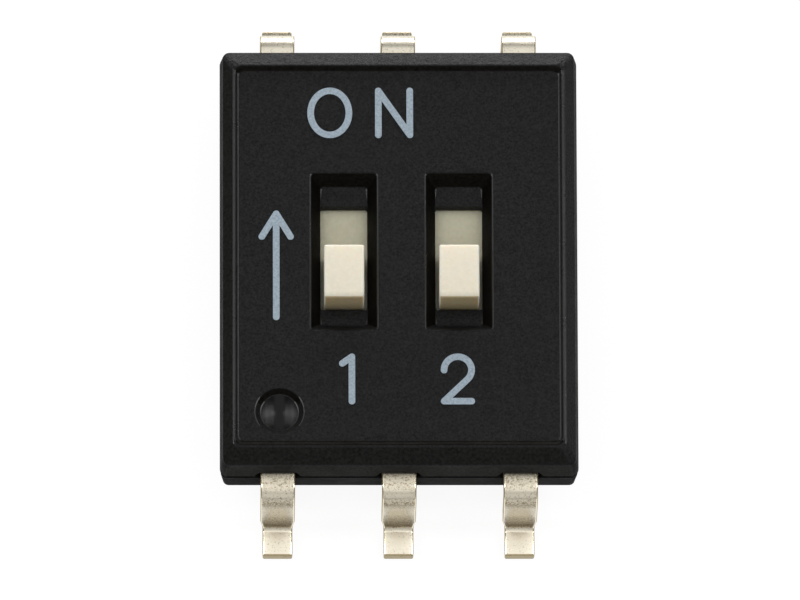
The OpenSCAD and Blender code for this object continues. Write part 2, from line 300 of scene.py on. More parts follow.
def paint(obj: Piece, finish: "Finish", test: Callable[[Face], bool]) -> None:
    """Gives some faces of a piece another finish.

    Args:
        obj: The piece.
        finish: The finish.
        test: Says whether a face takes it.
    """
    slot = dress(obj, finish)
    with editing(obj):
        choose(obj, Select.FACE, test)
        obj.active_material_index = slot
        bpy.ops.object.material_slot_assign()


def clean(obj: Piece) -> None:
    """Merges doubles, drops loose bits and turns all faces outwards.

    Args:
        obj: The piece.
    """
    with editing(obj):
        bpy.ops.mesh.select_all(action="SELECT")
        bpy.ops.mesh.remove_doubles(threshold=TINY)
        bpy.ops.mesh.dissolve_degenerate(threshold=TINY)
        bpy.ops.mesh.delete_loose()
        bpy.ops.mesh.select_all(action="SELECT")
        bpy.ops.mesh.normals_make_consistent(inside=False)


def settle(obj: Piece, body: str, node: str, smooth: float = 40) -> None:
    """Brings a bench piece into the frame's metres and hangs it on its body.

    Args:
        obj: The finished bench piece.
        body: CAD body that it rides on.
        node: CAD node that it stands for.
        smooth: Angle below which neighbouring faces are shaded as one, in degrees.
    """
    pick(obj)
    obj.scale = (MM, MM, MM)
    fix(obj)
    bpy.ops.object.shade_smooth_by_angle(angle=math.radians(smooth))
    finish_with(obj, "WEIGHTED_NORMAL", keep_sharp=True)
    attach(obj, body)
    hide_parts(node)
    LOG.info("%s: %d faces, rides on %s", obj.name, len(obj.data.polygons), body)


@dataclass(frozen=True)
class Extent:
    """Box of a CAD node, in millimetres."""

    low: Vector
    high: Vector

    @classmethod
    def of(cls, node: str) -> "Extent":
        """Reads the box of one CAD node."""
        low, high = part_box(node)
        return cls(low / MM, high / MM)

    @property
    def middle(self) -> Vector:
        """Middle of the box."""
        return (self.low + self.high) / 2

    @property
    def size(self) -> Vector:
        """Size of the box."""
        return self.high - self.low


# ---------- finishes ----------


@dataclass(frozen=True)
class Graph:
    """Node tree that is wired by calls."""

    tree: Tree

    def feed(self, node: Node, inputs: dict[str | int, object]) -> None:
        """Links the sockets and sets the values that a node is given.

        Args:
            node: The node.
            inputs: Socket or value for each input, by name or number.
        """
        for key, value in inputs.items():
            if isinstance(value, Socket):
                self.tree.links.new(value, node.inputs[key])
            else:
                node.inputs[key].default_value = value

    def add(self, kind: str, inputs: dict[str | int, object], **settings: object) -> Node:
        """Adds a node.

        Args:
            kind: Type of the node, without its prefix.
            inputs: Socket or value for each input, by name or number.
            **settings: Other values of the node.

        Returns:
            The node.
        """
        node = self.tree.nodes.new(f"ShaderNode{kind}")
        for key, value in settings.items():
            setattr(node, key, value)
        self.feed(node, inputs)
        return node

    def math(self, operation: str, *values: object, clamp: bool = False) -> Socket:
        """Calculates with sockets and numbers."""
        node = self.add("Math", dict(enumerate(values)), operation=operation, use_clamp=clamp)
        return node.outputs["Value"]

    def length(self, x: Socket, y: Socket) -> Socket:
        """Measures how long a level vector is."""
        way = self.add("CombineXYZ", {"X": x, "Y": y}).outputs["Vector"]
        return self.add("VectorMath", {0: way}, operation="LENGTH").outputs["Value"]

    def place(self, stretch: Point = (1, 1, 1)) -> Socket:
        """Adds object coordinates in millimetres, with a factor on each axis."""
        place = self.add("TexCoord", {}).outputs["Object"]
        return self.add("Mapping", {"Vector": place, "Scale": [s / MM for s in stretch]}).outputs["Vector"]

    def noise(self, place: Socket, scale: object, detail: float, roughness: float) -> Socket:
        """Adds noise with a number of octaves, the finer ones weighted by a roughness."""
        inputs = {"Vector": place, "Scale": scale, "Detail": detail, "Roughness": roughness}
        return self.add("TexNoise", inputs).outputs["Fac"]

    def spread(self, mask: Socket, low: float = 0.0, high: float = 1.0) -> Socket:
        """Maps the middle of a mask, where noise has its values, to a range."""
        ends = {"Value": mask, "From Min": 0.3, "From Max": 0.7, "To Min": low, "To Max": high}
        return self.add("MapRange", ends).outputs["Result"]


class Effects:
    """Shader node groups that several finishes share. Each is built once."""

    @staticmethod
    def _start(
        name: str, inputs: dict[str, float], outputs: Sequence[str]
    ) -> tuple[Graph, dict[str, Socket], Node]:
        """Opens a group with its sockets and its two end nodes.

        Args:
            name: Name of the group.
            inputs: Name and default of each input.
            outputs: Name of each output.

        Returns:
            The group's graph, the sockets that carry its inputs, and its output node.
        """
        tree = bpy.data.node_groups.new(name, "ShaderNodeTree")
        for label, value in inputs.items():
            socket = tree.interface.new_socket(label, in_out="INPUT", socket_type="NodeSocketFloat")
            socket.default_value = value
        for label in outputs:
            tree.interface.new_socket(label, in_out="OUTPUT", socket_type="NodeSocketFloat")
        given = tree.nodes.new("NodeGroupInput").outputs
        return Graph(tree), {label: given[label] for label in inputs}, tree.nodes.new("NodeGroupOutput")

    @staticmethod
    @cache
    def grain() -> Tree:
        """Spark-eroded grain of a mould: fine pits over a slower swell.

        Returns:
            The group, with Pitch in grains per millimetre and outputs Height and Patch.
        """
        graph, given, out = Effects._start("grain", {"Pitch": 18.0, "Swell": 2.5}, ["Height", "Patch"])
        place = graph.place()
        fine = graph.noise(place, given["Pitch"], 3, 0.65)
        slow = graph.noise(place, given["Swell"], 3, 0.55)
        graph.feed(out, {"Height": fine, "Patch": slow})
        return graph.tree

    @staticmethod
    @cache
    def speckle() -> Tree:
        """Dark specks of a plated surface, darker with the share of wear and painted shade, and the bands
        where the strip was bent.

        Returns:
            The group, with inputs Pitch and the share of wear and painted shade, and outputs Clean, Bands
            and Height.
        """
        inputs = {"Pitch": 22.0, "WearAndShade": 0.0}
        graph, given, out = Effects._start("speckle", inputs, ["Clean", "Bands", "Height"])
        specks = graph.noise(graph.place(), given["Pitch"], 5, 0.75)
        # The last pair darkens the clean plating with the share of wear and painted shade.
        low, high, free_of_wear_and_shade = (
            graph.math("MULTIPLY_ADD", given["WearAndShade"], factor, offset)
            for factor, offset in ((0.22, 0.29), (0.20, 0.43), (-0.6, 1.0))
        )
        cut = graph.add("MapRange", {"Value": specks, "From Min": low, "From Max": high})
        clean_share = graph.math("MULTIPLY", cut.outputs["Result"], free_of_wear_and_shade)
        bands = graph.noise(graph.place((0.9, 8.0, 8.0)), 1.0, 3, 0.5)
        graph.feed(out, {"Clean": clean_share, "Bands": bands, "Height": specks})
        return graph.tree

    @staticmethod
    @cache
    def turning() -> Tree:
        """Rings that a turning tool leaves round an upright axis, in an oval dish that climbs with Y.

        Returns:
            The group, with inputs X, Y, Pitch and Reach in millimetres, and output Height.
        """
        inputs = {"X": 0.0, "Y": 0.0, "Pitch": 0.03, "Reach": 0.4}
        graph, given, out = Effects._start("turning", inputs, ["Height"])
        apart = graph.add("SeparateXYZ", {"Vector": graph.place()}).outputs
        x, y = (graph.math("SUBTRACT", apart[axis], given[axis]) for axis in ("X", "Y"))
        rings = graph.math("PINGPONG", graph.length(x, y), given["Pitch"])
        oval = graph.length(x, graph.math("MULTIPLY", y, 0.35))
        ends = {"Value": oval, "From Max": given["Reach"]}
        dish = graph.add("MapRange", ends, interpolation_type="SMOOTHERSTEP").outputs["Result"]
        level = graph.math("ADD", rings, dish)
        graph.feed(out, {"Height": graph.math("MULTIPLY_ADD", y, 2.2, level)})
        return graph.tree


@dataclass(frozen=True)
class Finish:
    """Surface of one material. Lengths are in millimetres."""

    name: str
    dark: Colour
    light: Colour
    rough_low: float
    rough_high: float
    bump_depth: float
    distribution: ClassVar[str] = "MULTI_GGX"

    def masks(self, graph: Graph) -> tuple[Socket, Socket, Socket]:
        """Wires the share of the light colour, the pattern of the roughness and the relief."""
        raise NotImplementedError

    def settings(self) -> dict[str, object]:
        """Values of the surface shader that are the same all over."""
        raise NotImplementedError

    @cache
    def make(self) -> bpy.types.Material:
        """Builds the material, once for all its pieces.

        Returns:
            The material.
        """
        material = bpy.data.materials.new(self.name)
        material.use_nodes = True
        graph = Graph(material.node_tree)
        share, rough, height = self.masks(graph)
        colours = {"Factor": share, "A": (*self.dark, 1), "B": (*self.light, 1)}
        relief = {"Strength": 1.0, "Distance": self.bump_depth * MM, "Height": height}
        shader = material.node_tree.nodes["Principled BSDF"]
        shader.distribution = self.distribution
        graph.feed(shader, {
            "Base Color": graph.add("Mix", colours, data_type="RGBA").outputs["Result"],
            "Roughness": graph.spread(rough, self.rough_low, self.rough_high),
            "Normal": graph.add("Bump", relief).outputs["Normal"],
            **self.settings(),
        })
        return material


@dataclass(frozen=True)
class MouldedPlastic(Finish):
    """Grained thermoplastic, opaque or slightly translucent."""

    distribution: ClassVar[str] = "GGX"
    specular: float = 0.5
    pitch: float = 18.0
    translucence: float = 0.0
    scatter: Colour = (1.0, 0.7, 0.4)
    scatter_depth: float = 0.3

    def masks(self, graph: Graph) -> tuple[Socket, Socket, Socket]:
        """Wires the grain of the mould."""
        grain = graph.add("Group", {"Pitch": self.pitch}, node_tree=Effects.grain()).outputs
        return graph.spread(grain["Height"]), grain["Patch"], grain["Height"]

    def settings(self) -> dict[str, object]:
        """Gives the gloss of the skin and how far light goes in."""
        return {
            "Specular IOR Level": self.specular,
            "Subsurface Weight": self.translucence,
            "Subsurface Radius": self.scatter,
            "Subsurface Scale": self.scatter_depth * MM,
        }


@dataclass(frozen=True)
class TurnedPlastic(MouldedPlastic):
    """Plastic that shows the turned end of a mould pin."""

    x: float = 0.0
    y: float = 0.0
    ring_pitch: float = 0.03

    def masks(self, graph: Graph) -> tuple[Socket, Socket, Socket]:
        """Wires the grain of the mould, with the rings of the pin as its relief.

        Args:
            graph: Graph of the material.

        Returns:
            The share of the light colour, the pattern of the roughness and the relief.
        """
        share, rough, _ = super().masks(graph)
        inputs = {"X": self.x, "Y": self.y, "Pitch": self.ring_pitch}
        rings = graph.add("Group", inputs, node_tree=Effects.turning())
        return share, rough, rings.outputs["Height"]


@dataclass(frozen=True)
class PlatedMetal(Finish):
    """Rolled strip with a plated skin that darkens where the strip was bent, partly from wear and partly
    as painted shade.
    """

    pitch: float = 22.0
    wear_and_shade: tuple[tuple[float, float], ...] = ((0.0, 0.0), (1.0, 0.0))

    def masks(self, graph: Graph) -> tuple[Socket, Socket, Socket]:
        """Wires the specks and the bands of the skin.

        Args:
            graph: Graph of the material.

        Returns:
            The share of the light colour, the pattern of the roughness and the relief.
        """
        inputs = {"Pitch": self.pitch, "WearAndShade": self.wear_and_shade_share(graph)}
        skin = graph.add("Group", inputs, node_tree=Effects.speckle()).outputs
        return skin["Clean"], skin["Bands"], skin["Height"]

    def settings(self) -> dict[str, object]:
        """Makes the surface a metal."""
        return {"Metallic": 1.0}

    def wear_and_shade_share(self, graph: Graph) -> Socket:
        """Adds the share of wear and painted shade at each height.

        Args:
            graph: Graph of the material.

        Returns:
            The socket with the share.
        """
        top = self.wear_and_shade[-1][0]
        height = graph.add("SeparateXYZ", {"Vector": graph.place()}).outputs["Z"]
        level = graph.add("MapRange", {"Value": height, "From Max": top}).outputs["Result"]
        ramp = graph.add("ValToRGB", {"Fac": level})
        stops = ramp.color_ramp.elements
        while len(stops) < len(self.wear_and_shade):
            stops.new(1.0)
        for stop, (height, share) in zip(stops, self.wear_and_shade):
            stop.position = height / top
            stop.color = (share, share, share, 1)
        return ramp.outputs["Color"]


BLACK = MouldedPlastic(
    "black_moulding", (0.0, 0.0, 0.0), (0.0148, 0.0148, 0.0151), 0.46, 0.60, 0.0110,
    specular=0.14, pitch=21.0,
)
# Coarser spark grain with a painted highlight: a lighter black for the rear bevel.
BLACK_SPARK_AND_SHEEN = MouldedPlastic(
    "black_spark_and_sheen", (0.0002, 0.0002, 0.0002), (0.0195, 0.0195, 0.0195), 0.34, 0.46, 0.0340,
    specular=0.15, pitch=12.0,
)
BLACK_RIM = MouldedPlastic(
    "black_rim", (0.003, 0.003, 0.003), (0.010, 0.010, 0.0102), 0.26, 0.38, 0.0060,
    specular=0.55, pitch=16.0,
)
BLACK_WALL = MouldedPlastic(
    "black_wall", (0.005, 0.005, 0.0046), (0.017, 0.017, 0.0162), 0.60, 0.72, 0.0080,
    specular=0.035, pitch=16.0,
)
# Painted light: a lighter copy of the wall finish for the front wall of the cover.
BLACK_LIT_SKIRT = replace(
    BLACK_WALL, name="black_lit_skirt", dark=(0.0120, 0.0120, 0.0112), light=(0.0360, 0.0360, 0.0340)
)
# Painted shade: a darker copy of the wall finish for the base's outer walls under the cover.
BLACK_SHADED_FLANGE = replace(
    BLACK_WALL, name="black_shaded_flange", dark=(0.0040, 0.0040, 0.0037), light=(0.0145, 0.0145, 0.0140),
    specular=0.025,
)
# Painted shade: a darker black for the hollows of the cover and the base, where shade falls.
BLACK_PAINTED_SHADE = MouldedPlastic(
    "black_painted_shade", (0.0010, 0.0010, 0.0009), (0.0070, 0.0062, 0.0046), 0.50, 0.66, 0.0040,
    specular=0.05, pitch=13.0,
)
BLACK_DIMPLE = TurnedPlastic(
    "turned_dimple", (0.001, 0.001, 0.001), (0.003, 0.003, 0.003), 0.18, 0.22, 0.0740,
    specular=0.16, pitch=20.0, x=-2.505, y=-3.385, ring_pitch=0.012,
)
CREAM = MouldedPlastic(
    "cream_moulding", (0.77, 0.72, 0.60), (0.82, 0.77, 0.65), 0.42, 0.52, 0.0006,
    specular=0.22, pitch=12.0, translucence=1.0, scatter=(1.0, 0.80, 0.60), scatter_depth=0.2,
)
# Painted shade: a darker, greener cream for the plate down in the well.
CREAM_SHADED_PLATE = MouldedPlastic(
    "cream_shaded_plate", (0.58, 0.555, 0.42), (0.64, 0.615, 0.47), 0.40, 0.52, 0.0006,
    specular=0.3, pitch=12.0, translucence=1.0, scatter=(1.0, 0.9, 0.8), scatter_depth=0.3,
)
# Painted shade: a darker, browner cream for the knob's front face, with warm translucence.
CREAM_SHADED_FRONT = MouldedPlastic(
    "cream_shaded_front", (0.46, 0.375, 0.21), (0.54, 0.44, 0.26), 0.45, 0.60, 0.0010,
    specular=0.3, pitch=12.0, translucence=0.8, scatter=(1.0, 0.62, 0.30), scatter_depth=0.3,
)
# Share of wear and painted shade at each height of a front lead: darkest just above the lower bend and at
# the upper bend.
LEAD_WEAR_AND_SHADE = (
    (0.0, 0.0), (0.30, 0.0), (0.38, 0.7), (0.48, 1.0), (0.65, 0.85), (1.25, 0.2), (1.65, 0.25),
    (1.93, 0.75), (2.05, 0.5), (2.12, 0.15), (2.20, 0.1), (2.25, 0.4),
)
LEAD_PLATING = PlatedMetal(
    "tin_plating", (0.19, 0.153, 0.088), (0.74, 0.681, 0.557), 0.26, 0.40, 0.0012, pitch=26.0,
    wear_and_shade=LEAD_WEAR_AND_SHADE,
)
# Painted light: the rear row's plating is lighter, with less darkening by height.
LEAD_LIT_REAR = replace(
    LEAD_PLATING, name="tin_plating_lit_rear", light=(0.76, 0.71, 0.59),
    wear_and_shade=((0.0, 0.0), (0.36, 0.5), (0.55, 0.5), (1.25, 0.0), (1.93, 0.15), (2.25, 0.1)),
)
# Painted highlight: a lighter, glossier plating for the rounded edges of the leads.
LEAD_EDGE_HIGHLIGHT = PlatedMetal(
    "painted_edge_highlight", (0.60, 0.50, 0.30), (0.92, 0.84, 0.64), 0.14, 0.24, 0.0004, pitch=26.0
)
# Dark raw metal of the sheared toe and sides, which on the sides is also painted shade.
LEAD_CUT_AND_SHADE = PlatedMetal(
    "sheared_side_and_shade", (0.20, 0.15, 0.08), (0.42, 0.35, 0.22), 0.40, 0.55, 0.0030, pitch=16.0
)
CONTACT_GOLD = PlatedMetal(
    "contact_gold", (0.72, 0.50, 0.18), (0.95, 0.74, 0.33), 0.18, 0.30, 0.0006
)
SPRING_STEEL = PlatedMetal(
    "spring_steel", (0.42, 0.43, 0.45), (0.66, 0.67, 0.69), 0.22, 0.34, 0.0004
)
INK = MouldedPlastic(
    "print_ink", (0.225, 0.28, 0.33), (0.37, 0.445, 0.51), 0.55, 0.70, 0.0015,
    specular=0.3, pitch=20.0,
)


# ---------- housing ----------


@dataclass(frozen=True)
class Heights:
    """Levels that the pieces share, in millimetres above the seating plane."""

    foot: float = 0.15
    floor: float = 0.90
    flange: float = 1.24
    seam: float = 2.11
    plateau: float = 2.155
    ceiling: float = 2.175
    strip_top: float = 2.25
    rib: float = 2.38
    well: float = 2.465
    edge: float = 2.725
    panel: float = 2.875
    crest: float = 2.945
    knob: float = 3.31


Z = Heights()


@dataclass
class Layout:
    """Places along and across the package, taken from the frame."""

    slots: list[Vector]
    leads: list[float]
    width: float
    length: float
    slot_y: float = 0.086

    @classmethod
    def from_frame(cls) -> "Layout":
        """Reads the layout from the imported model.

        Returns:
            The layout.
        """
        slots = [Extent.of(f"slider_{i}").middle for i in (1, 2)]
        leads = [m["pos_m"][0] / MM for m in frame["record"]["mounts"]]
        size = Extent.of("cover").size
        return cls(slots, leads, size.x, size.y)

    @property
    def columns(self) -> list[float]:
        """Places of the leads of one row across the package."""
        return self.leads[:len(self.leads) // 2]


@dataclass
class Housing:
    """Cover and base of the switch, with all that they share."""

    layout: Layout
    corner_r: float = 0.14
    wall_x: float = 0.65
    wall_y: float = 0.69
    nest_gap: float = 0.03
    rib_y: float = 2.78
    window_w: float = 0.98
    window_flat: float = 0.76
    window_h: float = 0.20
    pin_r: float = 0.22
    pin_l: float = 0.70
    pin_x: float = 2.72
    pin_y: float = 1.30
    window_lap: float = 0.02
    band_x: float = 0.30
    band_y: float = 0.42

    def windows(self, obj: Piece, side: int) -> None:
        """Cuts the half-hexagons that the leads pass.

        Args:
            obj: The cover or the base.
            side: 1 for the upper halves, -1 for the lower ones.
        """
        outer = self.layout.length / 2 + 3 * OVER
        inner = self.layout.length / 2 - self.wall_y - self.nest_gap - self.window_lap
        low, high = sorted((Z.seam - side * OVER, Z.seam))
        for row in (-1, 1):
            for x in self.layout.columns:
                at = (x, row * (outer + inner) / 2)
                tool = block("window_tool", at, self.window_w, outer - inner, low, high)
                with editing(tool):
                    choose(tool, Select.FACE, facing(0, 0, side))
                    extrude(0, 0, side * self.window_h)
                    resize(self.window_flat / self.window_w, 1, 1, (x, 0, 0))
                combine(obj, tool, Merge.CUT)

    def pins(self, obj: Piece, merge: Merge, radius: float, low: float, top: float) -> None:
        """Adds the four pins that hold the cover on the base, or cuts their holes.

        Args:
            obj: The cover or the base.
            merge: Whether they are added or cut.
            radius: Radius of a pin or a hole.
            low: Height of its lower end.
            top: Height of its upper end.
        """
        for x in (-self.pin_x, self.pin_x):
            for y in (-self.pin_y, self.pin_y):
                combine(obj, round_bar("pin_tool", (x, y, low), radius, radius, top - low, 32), merge)

    def on_wall(self, face: Face) -> bool:
        """True for a face near the outer wall of the housing."""
        x, y = (abs(part) for part in middle(face).xy)
        return x > self.layout.width / 2 - self.band_x or y > self.layout.length / 2 - self.band_y

    def nest(self, gap: float, low: float, top: float, rib_top: float) -> Piece:
        """Models the block that fills the nest, with a rib across each end over the strips.

        Args:
            gap: Clearance to the walls.
            low: Height of its underside.
            top: Height of its middle.
            rib_top: Height of its ribs.

        Returns:
            The block.
        """
        half_l = self.layout.length / 2 - self.wall_y - gap
        inner = self.rib_y + gap
        width = self.layout.width - 2 * (self.wall_x + gap)
        nest = block("nest_tool", (0, 0), width, 2 * inner, low, top)
        with editing(nest):
            choose(nest, Select.FACE, lambda f: abs(f.normal.y) > 0.9)
            extrude(0, 0, 0)
            resize(1, half_l / inner, 1)
            choose(nest, Select.FACE, lambda f: facing(0, 0, 1)(f) and abs(middle(f).y) > inner)
            extrude(0, 0, rib_top - top)
        return nest


@dataclass
class CoverShell(Housing):
    """Drafted cap with a recessed panel, two sloped wells and the pin-1 dimple."""

    draft: float = 0.06
    bevel_x: float = 0.21
    bevel_y: float = 0.33
    crest_w: float = 0.055
    recess_run: float = 0.05
    front_run: float = 0.035
    panel_r: float = 0.13
    well_w: float = 1.385
    well_l: float = 3.447
    well_y: float = 0.113
    well_slope: float = 0.20
    well_corner: float = 0.07
    opening_w: float = 0.985
    opening_l: float = 2.256
    opening_r: float = 0.05
    dimple: tuple[float, float] = (-2.505, -3.385)
    dimple_r: float = 0.50
    dimple_floor_r: float = 0.41
    dimple_depth: float = 0.11
    edge_r: float = 0.026

    @property
    def panel_half(self) -> tuple[float, float]:
        """Half the width and half the length of the panel, without the run of its front edge."""
        rim = self.draft + self.crest_w + self.recess_run
        return self.layout.width / 2 - rim - self.bevel_x, self.layout.length / 2 - rim - self.bevel_y

    def cap(self) -> Piece:
        """Models the outside: the drafted wall and the bevel, up to the crest.

        Returns:
            The solid.
        """
        width, length = self.layout.width, self.layout.length
        top_w, top_l = width - 2 * self.draft, length - 2 * self.draft
        cap = block("cover_shell", (0, 0), width, length, Z.seam, Z.edge)
        with editing(cap):
            choose(cap, Select.FACE, facing(0, 0, 1))
            resize(top_w / width, top_l / length, 1)
            extrude(0, 0, Z.crest - Z.edge)
            resize((top_w - 2 * self.bevel_x) / top_w, (top_l - 2 * self.bevel_y) / top_l, 1)
            round_corners(cap, self.corner_r, 8)
        return cap

    def sunk(self, name: str, at: Point, half: Point, low: float, rim: float, run: float) -> Piece:
        """Models a space whose walls lean out, from its floor to a little above its rim.

        Args:
            name: Name of the solid.
            at: Place of its middle.
            half: Half its width and half its length at the floor.
            low: Height of the floor.
            rim: Height of the rim.
            run: How far the walls lean out from the floor to the rim.

        Returns:
            The solid to cut away, with sharp corners.
        """
        grow = run * (rim - low + OVER) / (rim - low)
        tool = block(name, at, 2 * half[0], 2 * half[1], low, rim + OVER)
        with editing(tool):
            choose(tool, Select.FACE, facing(0, 0, 1))
            resize(1 + grow / half[0], 1 + grow / half[1], 1, (*at, 0))
        return tool

    def recess_tool(self) -> Piece:
        """Models the space over the panel, whose front edge is set in further than the others.

        Returns:
            The solid to cut away.
        """
        tool = self.sunk("recess_tool", (0, 0), self.panel_half, Z.panel, Z.crest, self.recess_run)
        with editing(tool):
            choose(tool, Select.VERT, lambda v: abs(v.co.z - Z.panel) < TINY and v.co.y < 0)
            bpy.ops.transform.translate(value=(0, self.front_run, 0))
            round_corners(tool, self.panel_r, 6)
        return tool

    def well_tool(self, x: float) -> Piece:
        """Models the space of a well.

        Args:
            x: Place of the switch across the package.

        Returns:
            The solid to cut away.
        """
        half = self.well_w / 2 - self.well_slope, self.well_l / 2 - self.well_slope
        tool = self.sunk("well_tool", (x, self.well_y), half, Z.well, Z.panel, self.well_slope)
        with editing(tool):
            round_corners(tool, self.well_corner, 5)
        return tool

    def opening_tool(self, x: float) -> Piece:
        """Models the opening that a knob stands in.

        Args:
            x: Place of the switch across the package.

        Returns:
            The solid to cut away.
        """
        at, low, top = (x, self.layout.slot_y), Z.seam - 3 * OVER, Z.well + OVER
        tool = block("opening_tool", at, self.opening_w, self.opening_l, low, top)
        with editing(tool):
            round_corners(tool, self.opening_r, 5)
        return tool

    def dimple_tool(self) -> Piece:
        """Models the space of the pin-1 dimple, a shallow cone.

        Returns:
            The solid to cut away.
        """
        rim_r = self.dimple_r + (self.dimple_r - self.dimple_floor_r) / self.dimple_depth * OVER
        at = (*self.dimple, Z.panel - self.dimple_depth)
        return round_bar("dimple_tool", at, self.dimple_floor_r, rim_r, self.dimple_depth + OVER, 96)

    def on_edge(self, face: Face) -> bool:
        """True for a face of the rounding between the wall and the bevel."""
        return abs(middle(face).z - Z.edge) < self.edge_r

    def on_bevel(self, face: Face) -> bool:
        """True for a face of the outer bevel."""
        return Z.edge + self.edge_r < middle(face).z < Z.crest - 2 * NEAR and self.on_wall(face)

    def in_dimple(self, face: Face) -> bool:
        """True for a face of the wall of the dimple."""
        reach = (middle(face).xy - Vector(self.dimple)).length
        return reach < self.dimple_r and middle(face).z < Z.panel and 0.05 < face.normal.z < 0.9

    def in_shade(self, face: Face) -> bool:
        """Finds the walls that go down into the cover, which take painted shade.

        Args:
            face: A face of the cover.

        Returns:
            True on the walls of the wells and of the dimple, and on the step at both ends of the panel.
        """
        at, normal = middle(face), face.normal
        if abs(at.y) > self.panel_half[1] - self.front_run - 0.03:
            inwards = normal.y * at.y < -0.1 * abs(at.y)
            return inwards and Z.panel + 2 * TINY < at.z < Z.crest - 2 * NEAR
        if self.in_dimple(face):
            return True
        wells = (
            abs(at.x - slot.x) < self.well_w / 2 and abs(at.y - self.well_y) < self.well_l / 2
            for slot in self.layout.slots
        )
        return any(wells) and abs(normal.z) < 0.62 and normal.y < 0.3

    def paint_faces(self, cover: Piece) -> None:
        """Gives the faces of the cover their finishes, the later ones over the earlier ones.

        Args:
            cover: The cover, all black but for its roundings.
        """
        floor = Z.panel - self.dimple_depth
        for finish, test in (
            (BLACK, lambda f: abs(f.normal.x) < abs(f.normal.y) + 0.05),
            (BLACK, self.on_edge),
            (BLACK_WALL, lambda f: abs(f.normal.z) < 0.2 and self.on_wall(f)),
            # Painted shade: the left and front bevel take the duller wall finish, so they read darker than
            # the right and rear bevel.
            (BLACK_WALL, lambda f: self.on_bevel(f) and f.normal.x + f.normal.y < -0.45),
            # Painted highlight: the rear bevel takes a lighter black with coarser grain.
            (BLACK_SPARK_AND_SHEEN, lambda f: self.on_bevel(f) and f.normal.y > 0.35),
            # Painted shade: the rear outer edge, the walls down into the cover and the under edge at the
            # seam take the darker black.
            (BLACK_PAINTED_SHADE, lambda f: self.on_edge(f) and f.normal.y > 0.3),
            (BLACK_PAINTED_SHADE, self.in_shade),
            (BLACK_PAINTED_SHADE, lambda f: middle(f).z < Z.seam + self.edge_r and f.normal.z < -0.1),
            (BLACK_WALL, lambda f: self.in_dimple(f) and f.normal.y > -0.3),
            (BLACK_DIMPLE, lambda f: facing(0, 0, 1)(f) and abs(middle(f).z - floor) < NEAR),
            # Painted light: the cover's front wall takes the lighter black.
            (BLACK_LIT_SKIRT, lambda f: f.normal.y < -0.9 and middle(f).z < Z.edge - self.edge_r),
        ):
            paint(cover, finish, test)

    def make(self) -> None:
        """Builds the cover."""
        cover = self.cap()
        dress(cover, BLACK)
        combine(cover, self.recess_tool(), Merge.CUT)
        combine(cover, self.dimple_tool(), Merge.CUT)
        for slot in self.layout.slots:
            combine(cover, self.well_tool(slot.x), Merge.CUT)
        nest = self.nest(0, Z.seam - 2 * OVER, Z.ceiling, Z.rib + self.nest_gap)
        combine(cover, nest, Merge.CUT)
        for slot in self.layout.slots:
            combine(cover, self.opening_tool(slot.x), Merge.CUT)
        self.windows(cover, 1)
        clean(cover)
        soften(cover, self.edge_r, finish=BLACK_RIM)
        self.pins(cover, Merge.ADD, self.pin_r, Z.ceiling - self.pin_l, Z.ceiling + OVER)
        self.paint_faces(cover)
        settle(cover, "housing", "cover")


@dataclass
class BaseMoulding(Housing):
    """Flanged base with the plateau that the cover nests on and a trough under each slider."""

    inset: float = 0.02
    draft: float = 0.05
    block_x: float = 0.45
    block_y: float = 0.48
    trough_w: float = 1.90
    trough_l: float = 4.856
    trough_r: float = 0.10
    pad_stand: float = 0.004
    groove_h: float = 0.18
    groove_d: float = 0.08
    pin_gap: float = 0.01
    pin_play: float = 0.06
    edge_r: float = 0.02

    def body(self) -> Piece:
        """Models the flange, the block under it and the groove under the seam.

        Returns:
            The solid.
        """
        width, length = self.layout.width - 2 * self.inset, self.layout.length - 2 * self.inset
        low_w, low_l = width - 2 * self.draft, length - 2 * self.draft
        block_w = self.layout.width - 2 * self.block_x
        block_l = self.layout.length - 2 * self.block_y
        base = block("base_moulding", (0, 0), width, length, Z.flange, Z.seam - self.groove_h)
        with editing(base):
            choose(base, Select.FACE, facing(0, 0, -1))
            resize(low_w / width, low_l / length, 1)
            extrude(0, 0, 0)
            resize(block_w / low_w, block_l / low_l, 1)
            extrude(0, 0, Z.foot - Z.flange)
            round_corners(base, self.corner_r - self.inset, 6)
            choose(base, Select.FACE, facing(0, 0, 1))
            bpy.ops.mesh.inset(thickness=self.groove_d, depth=0)
            extrude(0, 0, self.groove_h)
        return base

    def trough_tool(self, x: float) -> Piece:
        """Models the trough that a slider runs in, a hair deeper than the pads.

        Args:
            x: Place of the switch across the package.

        Returns:
            The solid to cut away.
        """
        at, low, top = (x, self.layout.slot_y), Z.floor - self.pad_stand, Z.rib + 3 * OVER
        tool = block("trough_tool", at, self.trough_w, self.trough_l, low, top)
        with editing(tool):
            round_corners(tool, self.trough_r, 4)
        return tool

    def make(self) -> None:
        """Builds the base."""
        base = self.body()
        dress(base, BLACK)
        self.windows(base, -1)
        nest = self.nest(self.nest_gap, Z.seam - 3 * OVER, Z.plateau, Z.rib)
        combine(base, nest, Merge.ADD)
        for slot in self.layout.slots:
            combine(base, self.trough_tool(slot.x), Merge.CUT)
        clean(base)
        soften(base, self.edge_r)
        hole_low = Z.ceiling - self.pin_l - self.pin_play
        self.pins(base, Merge.CUT, self.pin_r + self.pin_gap, hole_low, Z.crest)
        # Painted shade: the base's outer walls take the darker black.
        paint(base, BLACK_SHADED_FLANGE, lambda f: abs(f.normal.z) < 0.2 and self.on_wall(f))
        # Painted shade: the base's lower edge and the groove under the seam take the darker black.
        paint(base, BLACK_PAINTED_SHADE, lambda f: middle(f).z < Z.flange + self.edge_r and self.on_wall(f))
        paint(base, BLACK_PAINTED_SHADE, lambda f: middle(f).z > Z.seam - self.groove_h + NEAR)
        settle(base, "housing", "base")


# ---------- leads ----------


@dataclass(frozen=True)
class Pad:
    """Where a lead's strip ends in the floor, as seen from its own row."""

    x: float
    width: float
    end: float


